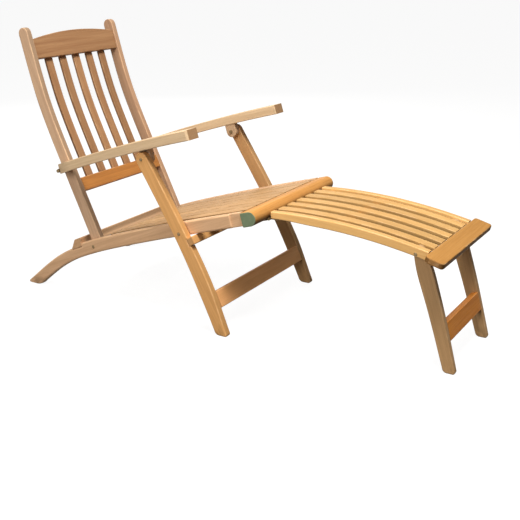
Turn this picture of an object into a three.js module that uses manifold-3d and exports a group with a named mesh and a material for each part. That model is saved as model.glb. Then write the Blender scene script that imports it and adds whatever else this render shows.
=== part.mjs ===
// A steamer deck chair: a folding frame of oiled hardwood bars, held by brass bolts and hinges.
// Millimetres, +Z up, +X towards the foot end, -Y on the sitter's right, standing on Z = 0.
import * as THREE from "three";
import { mergeVertices } from "three/addons/utils/BufferGeometryUtils.js";
import Module from "manifold-3d";

const wasm = await Module();
wasm.setup();

// Widths across the chair, from the main legs inwards.
const chairWidth = 600;
const legThickness = 25;
const legWasherGap = 3;
const railThickness = 25;
const postWasherGap = 2;
const postThickness = 23;
const armGap = 3;
const armWidth = 60;
const armBlockThickness = 24;
const pinReach = 298; // from the middle of the chair to the tip of a recline pin

// Places in the side view. Each "back" is measured behind the foot of the main leg.
const backPivotBack = 586;
const backPivotHeight = 201;
const rearFootBack = 903;
const rearKneeBack = 750;
const rearKneeHeight = 121;
const seatFrontAhead = 51;
const seatFrontHeight = 404;
const seatCrown = 6;
const legPivotBack = 178;
const legPivotHeight = 327;
const armPivotBack = 330;
const armPivotHeight = 563;
const pinBack = 721;
const pinHeight = 471;
const backTopBack = 912;
const backTopHeight = 952;
const backBow = 16;

// Seat frame.
const railDepth = 51;
const railTaper = 4; // how much shallower the rails' underside makes them at the front end
const shoulderStep = 7; // down from the seat to the rear feet, under the rear rail
const railLapLength = 45;
const railLapDepth = 7;
const noseFlat = 31;
const noseHeight = 48;
const noseDrop = 1; // of the nose's middle below the rails'
const noseBackChamfer = 2;
const rearRailBack = 660;
const rearRailWidth = 50;
const rearRailTopWidth = 33;
const rearRailRise = 20; // above the side rails
const rearRailLetIn = 11.5; // into the side rails
const rearRailRake = 10; // of its front face, forwards
const battenWidth = 42;
const battenDepth = 20;
const battenBacks = [430, 225, 12];
const seatSlatCount = 7;
const seatSlatGap = 8;
const seatSlatThickness = 12;
const seatSlatDrop = 1;
const seatSlatRearBack = 543;
const seatSlatFrontGap = 4;
const seatSlatSideGap = 5;

// Main legs.
const legFootBack = 10;
const legWidth = 48;
const legKneeWidth = 52;
const legFootWidth = 43;
const legFootChamfer = 5;
const legKneeHeight = 155;
const legBow = 8;
const stretcherHeight = 107;
const stretcherWidth = 58;
const stretcherThickness = 22;
const crossbarWidth = 28;
const crossbarDepth = 26;
const crossbarLetIn = 6;

// Back.
const postWidth = 45;
const backBottomHeight = 404;
const backBottomWidth = 51;
const backRailThickness = 36;
const backTopRailSetback = 6;
const backTopRailWidth = 74;
const backTopRailArch = 20;
const backTopRailInset = 26;
const backSlatCount = 5;
const backSlatWidth = 34;
const backSlatPitch = 73;
const backSlatThickness = 11;
const backSlatSetback = 1.5; // of their front faces behind the posts' middle line
const pinRadius = 7;

// Arms. Their pitch follows from the places of their pivots and the recline pins.
const armRise = 28;
const armThickness = 35;
const armAhead = 222;
const armBehind = 420;
const armTipRake = 20; // how much shorter the arm is at its upper face
const armArchRadius = 6760;
const armRearSweep = 98;
const armTipFlat = 5;
const armCornerRadius = 9;
const armBlockRadius = 22;
const notchCount = 4;
const notchPitch = 55;
const notchDepth = 12.3; // from the arm's underside up to the middle of the recline pin
const notchClearance = 1;
const notchFlare = 5;
const notchEndGap = 1.5; // between the tip of a pin and the blind end of its notch

// Footrest.
const footrestLength = 543;
const footrestPitch = THREE.MathUtils.degToRad(-4.1);
const footrestCrown = 19;
const footrestDrop = 5; // from the middle of the seat's nose to the middle of the footrest rails
const footrestGap = 7;
const footRailOuter = 190;
const footRailThickness = 24;
const footRailDepth = 30;
const footRailThinning = 6; // of the rails' underside at the hinge
const footRailThinShare = 0.3;
const footSlatCount = 5;
const footSlatWidth = 36;
const footSlatThickness = 11;
const footSlatDrop = 2;
const footSlatToLeg = 2;
const footCrossWidth = 30;
const footCrossDepth = 14;
const footCrossShares = [0.08, 0.44];
const boardLength = 62;
const boardHalfWidth = 226;
const boardThickness = 20;
const boardCornerRadius = 13;
const boardTilt = THREE.MathUtils.degToRad(-3);

// Footrest legs.
const footLegGap = 2;
const footLegThickness = 20;
const footLegPivotAhead = 617;
const footLegPivotDrop = 7;
const footLegFootAhead = 727;
const footLegFootChamfer = 4;
const footLegBow = 4;
const footLegWidth = 52;
const footLegFootWidth = 38;
const footLegEyeRadius = 18;
const footStretcherHeight = 122;
const footStretcherWidth = 58;
const footStretcherThickness = 24;

// Metal.
const boltRadius = 4;
const boltHeadRadius = 6;
const boltHeadHeight = 3;
const washerRadius = 11;
const nutRadius = 6.5;
const nutHeight = 5;
const rivetRadius = 5;
const rivetHeight = 3;
const hingeWidth = 22;
const hingeLeafLength = 32;
const hingeLeafThickness = 2;
const knuckleRadius = 4.5;
const hingePinRadius = 2;
const hingeSideGap = 0.4;

// Finish sizes, clearances and counts.
const fitGap = 0.3; // between pieces that are glued or screwed together
const boreGap = 0.4; // round a bolt or pin
const edgeChamfer = 2.5;
const slatChamfer = 1.5;
const overrun = 4; // how far a cutter reaches past what it cuts
const curveSteps = 14;
const slatSteps = 10;
const arcSteps = 8;
const roundSides = 12;

// Stations across the chair, on the left side.
const legOuterY = chairWidth / 2;
const legInnerY = legOuterY - legThickness;
const railOuterY = legInnerY - legWasherGap;
const railInnerY = railOuterY - railThickness;
const postOuterY = railInnerY - postWasherGap;
const postInnerY = postOuterY - postThickness;
const armInnerY = postOuterY + armGap;
const footRailInnerY = footRailOuter - footRailThickness;
const footLegOuterY = footRailInnerY - footLegGap;
const footLegInnerY = footLegOuterY - footLegThickness;

const finish = {
  seat: { color: 0xcf9d68, roughness: 0.6, metalness: 0 },
  frame: { color: 0xb98d5c, roughness: 0.62, metalness: 0 },
  arm: { color: 0xc08f58, roughness: 0.6, metalness: 0 },
  footrest: { color: 0xd6a668, roughness: 0.58, metalness: 0 },
  brass: { color: 0x8a6b3c, roughness: 0.42, metalness: 0.9 },
};

// Points and lines in the side view: x is the chair's X, y its Z.
const at = (x, z) => new THREE.Vector2(x, z);

// The place and direction at a share of a line's length; across is a quarter turn left of along.
function frameAt(line, share) {
  const along = line.getTangentAt(share);
  return { point: line.getPointAt(share), along, across: at(-along.y, along.x) };
}

// A frame at a point, with its along direction turned up from +X by an angle.
function turnedFrame(point, angle) {
  const along = at(Math.cos(angle), Math.sin(angle));
  return { point, along, across: at(-along.y, along.x) };
}

// The point u along and v across a frame.
function inFrame(frame, u, v) {
  return frame.point.clone().addScaledVector(frame.along, u).addScaledVector(frame.across, v);
}

// The share of a line's length where its x or y reaches a value, by halving.
function shareWhere(line, axis, value) {
  const rising = line.getPointAt(1)[axis] > line.getPointAt(0)[axis];
  let low = 0;
  let high = 1;
  for (let halving = 0; halving < 30; halving++) {
    const middle = (low + high) / 2;
    if (line.getPointAt(middle)[axis] < value === rising) low = middle;
    else high = middle;
  }
  return low;
}

// The points of one edge of a bar: a line set off to its left by a width that may change.
function edgeOf(line, from, to, offset, steps = curveSteps) {
  const points = [];
  for (let step = 0; step <= steps; step++) {
    const share = from + ((to - from) * step) / steps;
    points.push(inFrame(frameAt(line, share), 0, offset(share)));
  }
  return points;
}

// Points of an arc in a frame, from one angle to another, both turned left from along.
function arcIn(frame, u, v, radius, from, to, steps = arcSteps) {
  const points = [];
  for (let step = 0; step <= steps; step++) {
    const angle = from + ((to - from) * step) / steps;
    points.push(inFrame(frame, u + radius * Math.cos(angle), v + radius * Math.sin(angle)));
  }
  return points;
}

// A point slid along a direction until it stands on the floor.
const toFloor = (point, along) => point.clone().addScaledVector(along, -point.y / along.y);

// The sole of a bar that stands on the floor: its first front and last rear points are moved
// up from the floor, and the two points on the floor are returned, in from the edges.
function soleOf(front, rear, along, chamfer) {
  const last = rear.length - 1;
  const frontToe = toFloor(front[0], along);
  const rearToe = toFloor(rear[last], along);
  front[0] = frontToe.clone().addScaledVector(along, chamfer);
  rear[last] = rearToe.clone().addScaledVector(along, chamfer);
  const inward = at(Math.sign(rearToe.x - frontToe.x) * chamfer, 0);
  return [rearToe.sub(inward), frontToe.add(inward)];
}

// A rectangle in a frame with its four corners cut off.
function cutRectangle(frame, uLow, uHigh, vLow, vHigh, chamfer) {
  return [
    inFrame(frame, uLow + chamfer, vLow),
    inFrame(frame, uHigh - chamfer, vLow),
    inFrame(frame, uHigh, vLow + chamfer),
    inFrame(frame, uHigh, vHigh - chamfer),
    inFrame(frame, uHigh - chamfer, vHigh),
    inFrame(frame, uLow + chamfer, vHigh),
    inFrame(frame, uLow, vHigh - chamfer),
    inFrame(frame, uLow, vLow + chamfer),
  ];
}

// A side view shape made solid from Y = 0 to Y = thickness, with both faces' edges chamfered.
function sideSolid(shape, thickness, chamfer) {
  const geometry = new THREE.ExtrudeGeometry(shape, {
    depth: thickness - 2 * chamfer,
    bevelEnabled: chamfer > 0,
    bevelThickness: chamfer,
    bevelSize: chamfer,
    bevelOffset: -chamfer,
    bevelSegments: 1,
    curveSegments: roundSides / 2,
  });
  geometry.translate(0, 0, chamfer);
  geometry.rotateX(Math.PI / 2);
  geometry.translate(0, thickness, 0);
  return geometry;
}

// A side view section run across the chair, centred on its middle.
function crossSolid(points, halfLength, chamfer = slatChamfer) {
  return sideSolid(new THREE.Shape(points), 2 * halfLength, chamfer).translate(0, -halfLength, 0);
}

// A flat shape drawn in (first, second) directions and made solid in their common normal.
function plateSolid(shape, thickness, origin, first, second, chamfer) {
  const geometry = new THREE.ExtrudeGeometry(shape, {
    depth: thickness - 2 * chamfer,
    bevelEnabled: chamfer > 0,
    bevelThickness: chamfer,
    bevelSize: chamfer,
    bevelOffset: -chamfer,
    bevelSegments: 1,
    curveSegments: roundSides / 2,
  });
  geometry.translate(0, 0, chamfer);
  const normal = first.clone().cross(second);
  const placing = new THREE.Matrix4().makeBasis(first, second, normal).setPosition(origin);
  return geometry.applyMatrix4(placing);
}

// A turned piece round the Y axis at a side view point: [radius, from Y, to Y] steps, then a dome.
function turned(centre, steps, domeHeight) {
  const profile = [new THREE.Vector2(0, steps[0][1])];
  for (const [radius, from, to] of steps) {
    profile.push(new THREE.Vector2(radius, from), new THREE.Vector2(radius, to));
  }
  const [lastRadius, , lastY] = steps[steps.length - 1];
  const domeShares = [0.5, 0.85];
  for (const share of domeShares) {
    const lift = domeHeight * Math.sqrt(share);
    profile.push(new THREE.Vector2(lastRadius * Math.sqrt(1 - share * share), lastY + lift));
  }
  profile.push(new THREE.Vector2(0, lastY + domeHeight));
  const geometry = new THREE.LatheGeometry(profile, roundSides);
  return geometry.translate(centre.x, 0, centre.y);
}

// A plain round bar along Y at a side view point.
function roundBar(centre, radius, from, to) {
  const geometry = new THREE.CylinderGeometry(radius, radius, to - from, roundSides);
  return geometry.translate(centre.x, (from + to) / 2, centre.y);
}

// The cutter for a hole along Y, through any piece.
function bore(centre, radius = boltRadius) {
  return roundBar(centre, radius + boreGap, -chairWidth, chairWidth);
}

// A closed geometry as a solid that can be joined and cut.
function solidOf(geometry) {
  const bare = geometry.clone();
  bare.deleteAttribute("normal");
  bare.deleteAttribute("uv");
  const merged = mergeVertices(bare);
  const mesh = new wasm.Mesh({
    numProp: 3,
    vertProperties: merged.attributes.position.array,
    triVerts: new Uint32Array(merged.index.array),
  });
  return new wasm.Manifold(mesh);
}

// A solid back as a geometry.
function geometryOf(solid) {
  const mesh = solid.getMesh();
  const geometry = new THREE.BufferGeometry();
  geometry.setAttribute("position", new THREE.BufferAttribute(mesh.vertProperties, 3));
  geometry.setIndex(new THREE.BufferAttribute(mesh.triVerts, 1));
  geometry.computeVertexNormals();
  return geometry;
}

// A geometry with others cut away.
function cut(geometry, ...cutters) {
  let solid = solidOf(geometry);
  for (const cutter of cutters) solid = solid.subtract(solidOf(cutter));
  return geometryOf(solid);
}

// Geometries joined into one.
function join(...geometries) {
  return geometryOf(geometries.map(solidOf).reduce((whole, next) => whole.add(next)));
}

const chair = new THREE.Group();
const sides = { left: new THREE.Group(), right: new THREE.Group() };
sides.right.scale.y = -1;
chair.add(sides.left, sides.right);

function pieceMesh(name, geometry, look) {
  const mesh = new THREE.Mesh(geometry, new THREE.MeshStandardMaterial(finish[look]));
  mesh.name = name;
  return mesh;
}

// Adds a piece that stands once in the chair.
function addPiece(name, geometry, look, y = 0) {
  const mesh = pieceMesh(name, geometry, look);
  mesh.position.y = y;
  chair.add(mesh);
}

// Adds a piece on the left and its mirror image on the right.
function addPair(name, geometry, look, y = 0) {
  for (const [side, group] of Object.entries(sides)) {
    const mesh = pieceMesh(name + "_" + side, geometry, look);
    mesh.position.y = y;
    group.add(mesh);
  }
}

// The seat rail's middle line, from the rear foot over the back pivot to the front end.
const backPivot = at(-backPivotBack, backPivotHeight);
const seatFront = at(seatFrontAhead, seatFrontHeight);
const crownShare = 0.45;
const seatChord = seatFront.clone().sub(backPivot).normalize();
const seatCrownPoint = backPivot.clone().lerp(seatFront, crownShare);
seatCrownPoint.addScaledVector(at(-seatChord.y, seatChord.x), seatCrown);
const rearFoot = at(-rearFootBack, 0);
const rearKnee = at(-rearKneeBack, rearKneeHeight);
const seatLine = new THREE.SplineCurve([rearFoot, rearKnee, backPivot, seatCrownPoint, seatFront]);
const seatShare = (back) => shareWhere(seatLine, "x", -back);
const seatEnd = frameAt(seatLine, 1);
const legPivot = at(-legPivotBack, legPivotHeight);

// How far the rails' underside lies below their middle line.
const railUnder = (share) => railDepth / 2 - railTaper * share;

// Where the rear rail lies in its housing in the tops of the side rails.
const rearRailFrame = frameAt(seatLine, seatShare(rearRailBack));
const rearRailHalf = rearRailWidth / 2;
const rearRailUnder = railDepth / 2 - rearRailLetIn;

// Seat rails: curved bars that run down into the rear feet, stepped on top under the rear rail,
// with the outer face let in at the front end.
function makeSeatRails() {
  const half = railDepth / 2;
  const footHalf = half - shoulderStep;
  const shoulder = seatShare(rearRailBack);
  const footFrame = frameAt(seatLine, 0);
  const bottom = edgeOf(seatLine, 0, 1, (share) => -railUnder(share));
  bottom[0] = toFloor(bottom[0], footFrame.along);
  const top = edgeOf(seatLine, 1, shoulder, () => half);
  const footTop = edgeOf(seatLine, shoulder, 0, () => footHalf, arcSteps);
  footTop[arcSteps] = toFloor(footTop[arcSteps], footFrame.along);
  const outline = new THREE.Shape([...bottom, ...top, ...footTop]);
  const lap = cutRectangle(seatEnd, -railLapLength, overrun, -railDepth, railDepth, 0);
  const lapCutter = sideSolid(new THREE.Shape(lap), railLapDepth + overrun, 0);
  lapCutter.translate(0, railThickness - railLapDepth, 0);
  const trench = cutRectangle(
    rearRailFrame, -rearRailHalf - fitGap, rearRailHalf + fitGap, rearRailUnder - fitGap, railDepth, 0,
  );
  const trenchCutter = sideSolid(new THREE.Shape(trench), railThickness + 2 * overrun, 0);
  trenchCutter.translate(0, -overrun, 0);
  const bar = sideSolid(outline, railThickness, edgeChamfer);
  const rail = cut(bar, lapCutter, trenchCutter, bore(backPivot), bore(legPivot));
  addPair("seat_rail", rail, "frame", railInnerY);
}
makeSeatRails();

// The seat's nose: a cross bar with a flat back and a half round front, over both rail ends.
const noseRadius = noseHeight / 2;
const noseFrame = { ...seatEnd, point: inFrame(seatEnd, 0, -noseDrop) };
function makeSeatNose() {
  const flatEnd = fitGap + noseFlat;
  const section = [
    inFrame(noseFrame, fitGap, -noseRadius + noseBackChamfer),
    inFrame(noseFrame, fitGap + noseBackChamfer, -noseRadius),
    ...arcIn(noseFrame, flatEnd, 0, noseRadius, -Math.PI / 2, Math.PI / 2, 2 * arcSteps),
    inFrame(noseFrame, fitGap + noseBackChamfer, noseRadius),
    inFrame(noseFrame, fitGap, noseRadius - noseBackChamfer),
  ];
  addPiece("seat_front_rail", crossSolid(section, railOuterY, edgeChamfer), "footrest");
}
makeSeatNose();

// The rear rail: a bar over both side rails, wider at its foot, with its front face raked forwards.
function makeRearRail() {
  const top = railDepth / 2 + rearRailRise;
  const front = rearRailHalf + rearRailRake;
  const section = [
    inFrame(rearRailFrame, -rearRailHalf, rearRailUnder),
    inFrame(rearRailFrame, rearRailHalf, rearRailUnder),
    inFrame(rearRailFrame, rearRailHalf, railDepth / 2),
    inFrame(rearRailFrame, front, top - edgeChamfer),
    inFrame(rearRailFrame, front - edgeChamfer, top),
    inFrame(rearRailFrame, front - rearRailTopWidth, top),
    inFrame(rearRailFrame, -rearRailHalf, railDepth / 2 - shoulderStep),
  ];
  addPiece("seat_rear_rail", crossSolid(section, railOuterY), "frame");
}
makeRearRail();

// The battens that carry the slats.
const slatTop = railDepth / 2 - seatSlatDrop;
const slatUnder = slatTop - seatSlatThickness;
function makeBattens() {
  const halfLength = railInnerY - fitGap;
  battenBacks.forEach((back, index) => {
    const frame = frameAt(seatLine, seatShare(back));
    const top = slatUnder - fitGap;
    const section = cutRectangle(
      frame, -battenWidth / 2, battenWidth / 2, top - battenDepth, top, slatChamfer,
    );
    addPiece("seat_batten_" + (index + 1), crossSolid(section, halfLength), "frame");
  });
}
makeBattens();

// Seat slats: long strips that follow the rails, from in front of the back posts to the nose.
function makeSeatSlats() {
  const from = seatShare(seatSlatRearBack);
  const to = 1 - seatSlatFrontGap / seatLine.getLength();
  const outline = [
    ...edgeOf(seatLine, from, to, () => slatUnder, slatSteps),
    ...edgeOf(seatLine, to, from, () => slatTop, slatSteps),
  ];
  const reach = postInnerY - seatSlatSideGap;
  const pitch = (2 * reach + seatSlatGap) / seatSlatCount;
  for (let index = 0; index < seatSlatCount; index++) {
    const slat = sideSolid(new THREE.Shape(outline), pitch - seatSlatGap, slatChamfer);
    addPiece("seat_slat_" + (index + 1), slat, "seat", -reach + index * pitch);
  }
}
makeSeatSlats();

// Main legs: bars from the floor past the seat rails to the arms, bowed forward below.
const armPivot = at(-armPivotBack, armPivotHeight);
const legFoot = at(-legFootBack, 0);
const legKneeShare = legKneeHeight / legPivotHeight;
const legChord = legPivot.clone().sub(legFoot).normalize();
const legKnee = legFoot.clone().lerp(legPivot, legKneeShare);
legKnee.addScaledVector(at(legChord.y, -legChord.x), legBow);
const legLine = new THREE.SplineCurve([legFoot, legKnee, legPivot, armPivot]);
const legPivotShare = shareWhere(legLine, "y", legPivotHeight);

// Half the width of a leg: it swells from the pivot down to the knee and narrows to the foot.
const legSwellShare = legPivotShare * legKneeShare;
function legHalf(share) {
  const { lerp, smoothstep } = THREE.MathUtils;
  const lower = smoothstep(share, 0, legSwellShare);
  const upper = smoothstep(share, legSwellShare, legPivotShare);
  return lerp(lerp(legFootWidth, legKneeWidth, lower), legWidth, upper) / 2;
}

// The crossbar sits on the legs' front edges, its upper corner against the seat rails.
function crossbarPlace() {
  const front = -legHalf(legPivotShare) + crossbarLetIn;
  const railShare = seatShare(legPivotBack);
  const railFrame = frameAt(seatLine, railShare);
  const legFrame = frameAt(legLine, legPivotShare);
  const corner = inFrame(legFrame, crossbarWidth / 2, front - crossbarDepth);
  const height = corner.sub(railFrame.point).dot(railFrame.across) + railUnder(railShare) + fitGap;
  const drop = height / legFrame.along.dot(railFrame.across);
  return { frame: { ...legFrame, point: inFrame(legFrame, -drop, 0) }, front };
}
const crossbar = crossbarPlace();

function crossbarSection(gap, chamfer) {
  const half = crossbarWidth / 2 + gap;
  const { frame, front } = crossbar;
  return cutRectangle(frame, -half, half, front - crossbarDepth - gap, front + gap, chamfer);
}

function makeLegs() {
  const footFrame = frameAt(legLine, 0);
  const topFrame = frameAt(legLine, 1);
  const front = edgeOf(legLine, 0, 1, (share) => -legHalf(share));
  const rear = edgeOf(legLine, 1, 0, legHalf);
  const roundTop = arcIn(topFrame, 0, 0, legWidth / 2, -Math.PI / 2, Math.PI / 2).slice(1, -1);
  const sole = soleOf(front, rear, footFrame.along, legFootChamfer);
  const outline = new THREE.Shape([...sole, ...front, ...roundTop, ...rear]);
  const housing = crossSolid(crossbarSection(fitGap, 0), legOuterY, 0);
  housing.translate(0, -legInnerY, 0);
  const blank = sideSolid(outline, legThickness, edgeChamfer);
  const leg = cut(blank, housing, bore(legPivot), bore(armPivot));
  addPair("leg", leg, "frame", legInnerY);
  const bar = crossSolid(crossbarSection(0, edgeChamfer), legOuterY);
  addPiece("leg_crossbar", bar, "frame");
}
makeLegs();

function makeLegStretcher() {
  const frame = frameAt(legLine, shareWhere(legLine, "y", stretcherHeight));
  const front = -legHalf(shareWhere(legLine, "y", stretcherHeight));
  const half = stretcherWidth / 2;
  const section = cutRectangle(frame, -half, half, front, front + stretcherThickness, edgeChamfer);
  addPiece("leg_stretcher", crossSolid(section, legInnerY - fitGap), "frame");
}
makeLegStretcher();

// The back posts' middle line, straight from the pivot to the recline pin and bowed above it.
const pinCentre = at(-pinBack, pinHeight);
const backTop = at(-backTopBack, backTopHeight);
const upperChord = backTop.clone().sub(pinCentre).normalize();
const upperMiddle = pinCentre.clone().lerp(backTop, 0.5);
upperMiddle.addScaledVector(at(-upperChord.y, upperChord.x), backBow);
const lowerMiddle = backPivot.clone().lerp(pinCentre, 0.5);
const postLine = new THREE.SplineCurve([backPivot, lowerMiddle, pinCentre, upperMiddle, backTop]);
const postHalf = postWidth / 2;
const postShare = (height) => shareWhere(postLine, "y", height);

function makePosts() {
  const base = frameAt(postLine, 0);
  const tip = frameAt(postLine, 1);
  const outline = new THREE.Shape([
    ...edgeOf(postLine, 0, 1, () => -postHalf),
    ...arcIn(tip, 0, 0, postHalf, -Math.PI / 2, Math.PI / 2).slice(1, -1),
    ...edgeOf(postLine, 1, 0, () => postHalf),
    ...arcIn(base, 0, 0, postHalf, Math.PI / 2, (3 * Math.PI) / 2).slice(1, -1),
  ]);
  const blank = sideSolid(outline, postThickness, edgeChamfer);
  const post = cut(blank, bore(backPivot), bore(pinCentre, pinRadius));
  addPair("back_post", post, "frame", postInnerY);
}
makePosts();

// The back's rails. The lower one is flush with the front of the posts, and the upper one is set
// back from it and has an arched top.
const bottomRailShare = postShare(backBottomHeight);
const topRailShare = 1 - backTopRailInset / postLine.getLength();
function makeBackRails() {
  const half = backBottomWidth / 2;
  const bottom = frameAt(postLine, bottomRailShare);
  const front = -postHalf;
  const back = front + backRailThickness;
  const section = cutRectangle(bottom, -half, half, front, back, edgeChamfer);
  addPiece("back_bottom_rail", crossSolid(section, postInnerY - fitGap), "frame");

  const reach = postInnerY - fitGap;
  const top = frameAt(postLine, topRailShare);
  const lower = inFrame(top, -backTopRailWidth, back);
  const arch = new THREE.Shape();
  arch.moveTo(-reach, 0);
  arch.lineTo(reach, 0);
  arch.lineTo(reach, backTopRailWidth);
  arch.quadraticCurveTo(0, backTopRailWidth + 2 * backTopRailArch, -reach, backTopRailWidth);
  const rail = plateSolid(
    arch,
    backRailThickness - backTopRailSetback,
    new THREE.Vector3(lower.x, 0, lower.y),
    new THREE.Vector3(0, 1, 0),
    new THREE.Vector3(top.along.x, 0, top.along.y),
    edgeChamfer,
  );
  addPiece("back_top_rail", rail, "frame");
}
makeBackRails();

// Back slats: strips between the two rails, bowed with the posts, set in the middle of their depth.
function makeBackSlats() {
  const length = postLine.getLength();
  const from = bottomRailShare + (backBottomWidth / 2 + fitGap) / length;
  const to = topRailShare - (backTopRailWidth + fitGap) / length;
  const face = backSlatSetback;
  const outline = [
    ...edgeOf(postLine, from, to, () => face, slatSteps),
    ...edgeOf(postLine, to, from, () => face + backSlatThickness, slatSteps),
  ];
  const first = (-backSlatPitch * (backSlatCount - 1)) / 2 - backSlatWidth / 2;
  for (let index = 0; index < backSlatCount; index++) {
    const slat = sideSolid(new THREE.Shape(outline), backSlatWidth, slatChamfer);
    addPiece("back_slat_" + (index + 1), slat, "frame", first + index * backSlatPitch);
  }
}
makeBackSlats();

// Recline pins: round brass pins through the posts, which the arms' notches drop over.
addPair(
  "recline_pin",
  turned(pinCentre, [[pinRadius, postInnerY, pinReach - pinRadius]], pinRadius),
  "brass",
);

// The arm is drawn in a frame at its pivot, u along its slope and v square to it. Its underside is
// a parabola, and its pitch is the one that seats the pin in its notch at the named depth.
const armUnder = (u) => armRise - (u * u) / (2 * armArchRadius);
const pinOffset = pinCentre.clone().sub(armPivot);
const pinV = armArchRadius - Math.sqrt(
  armArchRadius ** 2 - 2 * armArchRadius * (armRise + notchDepth) + pinOffset.lengthSq(),
);
const pinU = -Math.sqrt(pinOffset.lengthSq() - pinV ** 2);
const armFrame = turnedFrame(armPivot, pinOffset.angle() - at(pinU, pinV).angle());

// One notch under the arm: a slot with a round end, its rear wall flared towards the mouth. It is
// cut from the arm's inner face and ends short of the outer one.
function notchPoints(u, v) {
  const radius = pinRadius + notchClearance;
  const mouth = armUnder(u) - overrun;
  return [
    inFrame(armFrame, u - radius - notchFlare, mouth),
    inFrame(armFrame, u + radius, mouth),
    ...arcIn(armFrame, u, v, radius, 0, Math.PI),
  ];
}

// The arm from above: straight inside, with the outer rear corner swept in to a narrow tip.
function armPlan() {
  const shape = new THREE.Shape();
  shape.moveTo(-armBehind, 0);
  shape.lineTo(armAhead, 0);
  shape.lineTo(armAhead, armWidth - armCornerRadius);
  shape.absarc(armAhead - armCornerRadius, armWidth - armCornerRadius, armCornerRadius, 0, Math.PI / 2);
  const sweepStart = armRearSweep - armBehind;
  shape.lineTo(sweepStart, armWidth);
  shape.absellipse(
    sweepStart, armTipFlat, armRearSweep, armWidth - armTipFlat, Math.PI / 2, Math.PI, false,
  );
  return shape;
}

function makeArms() {
  const lower = [];
  const upper = [];
  for (let step = 0; step <= curveSteps; step++) {
    const u = -armBehind + ((armAhead + armBehind) * step) / curveSteps;
    lower.push(inFrame(armFrame, u, armUnder(u)));
    const upperU = Math.max(u, armTipRake - armBehind);
    upper.unshift(inFrame(armFrame, upperU, armUnder(upperU) + armThickness));
  }
  const board = sideSolid(new THREE.Shape([...lower, ...upper]), armWidth, edgeChamfer);
  const planBase = inFrame(armFrame, 0, -armArchRadius / 2);
  const plan = plateSolid(
    armPlan(),
    armArchRadius,
    new THREE.Vector3(planBase.x, 0, planBase.y),
    new THREE.Vector3(armFrame.along.x, 0, armFrame.along.y),
    new THREE.Vector3(0, 1, 0),
    0,
  );
  const notchReach = pinReach + notchEndGap - armInnerY;
  let arm = solidOf(board).intersect(solidOf(plan));
  for (let index = 0; index < notchCount; index++) {
    const u = pinU + index * notchPitch;
    const outline = new THREE.Shape(notchPoints(u, armUnder(u) + notchDepth));
    const notch = sideSolid(outline, notchReach + overrun, 0).translate(0, -overrun, 0);
    arm = arm.subtract(solidOf(notch));
  }
  addPair("arm", geometryOf(arm), "arm", armInnerY);
}
makeArms();

// Arm blocks: under the arms on the inside of the legs, round at the bottom, bored for the bolt.
function makeArmBlocks() {
  const top = armUnder(armBlockRadius) - fitGap;
  const outline = [
    ...arcIn(armFrame, 0, 0, armBlockRadius, Math.PI, 2 * Math.PI, 2 * arcSteps),
    inFrame(armFrame, armBlockRadius, top),
    inFrame(armFrame, -armBlockRadius, top),
  ];
  const blank = sideSolid(new THREE.Shape(outline), armBlockThickness, slatChamfer);
  const inner = legInnerY - fitGap - armBlockThickness;
  addPair("arm_block", cut(blank, bore(armPivot)), "frame", inner);
}
makeArmBlocks();

// The footrest rails' middle line starts at the seat's nose and arches gently.
const noseFront = inFrame(noseFrame, fitGap + noseFlat, 0);
const footStart = at(noseFront.x + noseRadius + footrestGap, noseFront.y - footrestDrop);
const footEnd = inFrame(turnedFrame(footStart, footrestPitch), footrestLength, 0);
const footMiddle = footStart.clone().lerp(footEnd, 0.5).add(at(0, 2 * footrestCrown));
const footLine = new THREE.QuadraticBezierCurve(footStart, footMiddle, footEnd);
const footHalf = footRailDepth / 2;
const footSlatTop = footHalf - footSlatDrop;
const footLegPivotFrame = frameAt(footLine, shareWhere(footLine, "x", footLegPivotAhead));
const footLegPivot = inFrame(footLegPivotFrame, 0, -footLegPivotDrop);

// How far the footrest rails' underside lies below their middle line: less near the hinge.
function footRailUnder(share) {
  return footHalf - footRailThinning * (1 - THREE.MathUtils.smoothstep(share, 0, footRailThinShare));
}

function makeFootrestRails() {
  const outline = new THREE.Shape([
    ...edgeOf(footLine, 0, 1, (share) => -footRailUnder(share)),
    ...edgeOf(footLine, 1, 0, () => footHalf),
  ]);
  const rail = cut(sideSolid(outline, footRailThickness, edgeChamfer), bore(footLegPivot));
  addPair("footrest_rail", rail, "footrest", footRailInnerY);
}
makeFootrestRails();

function makeFootrestSlats() {
  const outline = [
    ...edgeOf(footLine, 0, 1, () => footSlatTop - footSlatThickness, slatSteps),
    ...edgeOf(footLine, 1, 0, () => footSlatTop, slatSteps),
  ];
  const reach = footLegInnerY - footSlatToLeg;
  const pitch = (2 * reach - footSlatWidth) / (footSlatCount - 1);
  for (let index = 0; index < footSlatCount; index++) {
    const slat = sideSolid(new THREE.Shape(outline), footSlatWidth, slatChamfer);
    addPiece("footrest_slat_" + (index + 1), slat, "footrest", -reach + index * pitch);
  }
}
makeFootrestSlats();

function makeFootrestCrossRails() {
  const top = footSlatTop - footSlatThickness - fitGap;
  footCrossShares.forEach((share, index) => {
    const frame = frameAt(footLine, share);
    const half = footCrossWidth / 2;
    const section = cutRectangle(frame, -half, half, top - footCrossDepth, top, slatChamfer);
    const rail = crossSolid(section, footRailInnerY - fitGap);
    addPiece("footrest_cross_rail_" + (index + 1), rail, "footrest");
  });
}
makeFootrestCrossRails();

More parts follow.
